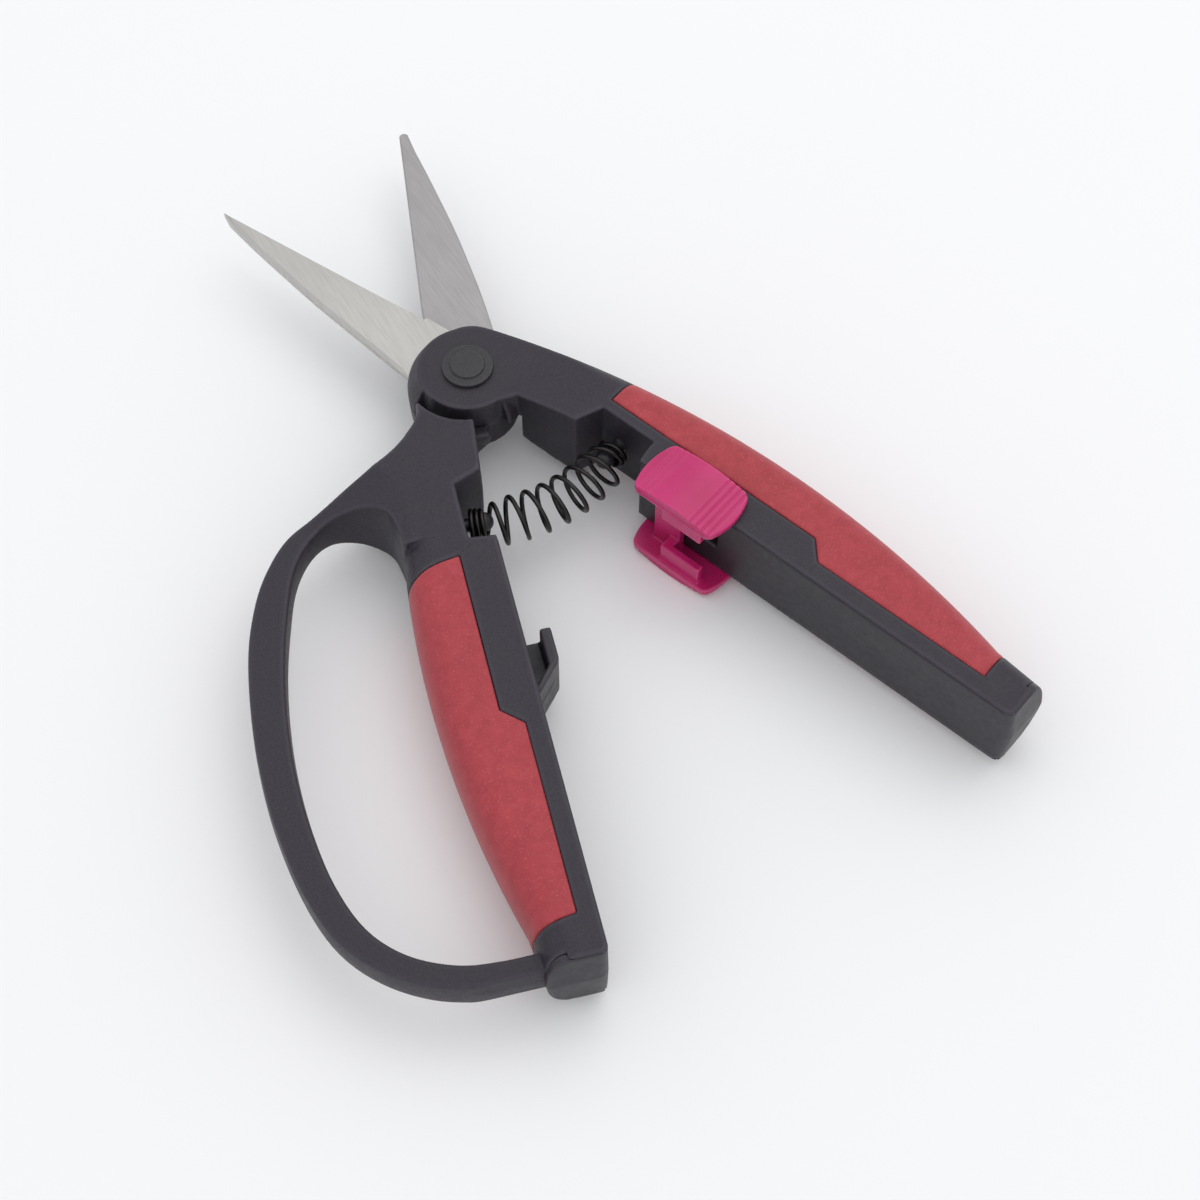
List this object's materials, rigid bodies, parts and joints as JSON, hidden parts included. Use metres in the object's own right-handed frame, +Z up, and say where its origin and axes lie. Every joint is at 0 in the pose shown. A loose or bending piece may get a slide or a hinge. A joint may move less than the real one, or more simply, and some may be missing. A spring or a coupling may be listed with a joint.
{
  "type": "garden snips",
  "caption": "Spring-opened garden snips with crossed slim blades, soft-grip handles, a finger guard bow and a sliding lock.",
  "frame": {"origin": "under the middle of the bounding box, at its bottom, with the snips lying open and flat, guard handle to -X", "axes": "+Y along the closed blades, away from the handles; +X towards the plain handle; +Z up through the thickness"},
  "size_m": [0.1456, 0.201, 0.0256],
  "materials": {
    "handle_plastic": "fine-grained black glass-filled nylon",
    "liner_plastic": "smoother black moulded plastic",
    "soft_grip": "matte red soft-touch thermoplastic rubber",
    "post_plastic": "black moulded plastic",
    "lock_plastic": "semi-gloss magenta plastic",
    "cap_plastic": "smooth black plastic",
    "satin_steel": "stainless steel, brushed lengthwise",
    "ground_steel": "stainless steel, ground across",
    "pin_steel": "turned stainless steel",
    "pivot_steel": "zinc-plated turned steel",
    "spring_steel": "blackened spring steel"
  },
  "bodies": {
    "guard_handle": {"guard_handle_core": "handle_plastic", "guard_handle_liner": "liner_plastic", "guard_handle_grip": "soft_grip", "guard_spring_post": "post_plastic", "lower_blade": "ground_steel", "lower_blade_pins": "pin_steel", "pivot_sleeve": "pivot_steel", "pivot_bolt": "pivot_steel", "pivot_washer": "spring_steel", "pivot_nut": "pivot_steel", "pivot_cap_lower": "cap_plastic", "return_spring": "spring_steel"},
    "plain_handle": {"plain_handle_core": "handle_plastic", "plain_handle_liner": "liner_plastic", "plain_handle_grip": "soft_grip", "plain_spring_post": "post_plastic", "upper_blade": "satin_steel", "upper_blade_pins": "pin_steel", "pivot_cap_upper": "cap_plastic"},
    "lock_slide": {"lock_slide": "lock_plastic"}
  },
  "joints": [
    {"name": "main_pivot", "type": "hinge", "parent": "guard_handle", "child": "plain_handle", "pos_m": [0.0151, 0.02995, 0.0128], "axis": [0, 0, -1], "range_deg": [0, 36], "stiffness_Nm_per_rad": 0.4, "springref_deg": -22.92, "deforming": ["return_spring"]},
    {"name": "lock_travel", "type": "slide", "parent": "plain_handle", "child": "lock_slide", "axis": [0.309, -0.9511, 0], "range_m": [0, 0.008]}
  ]
}
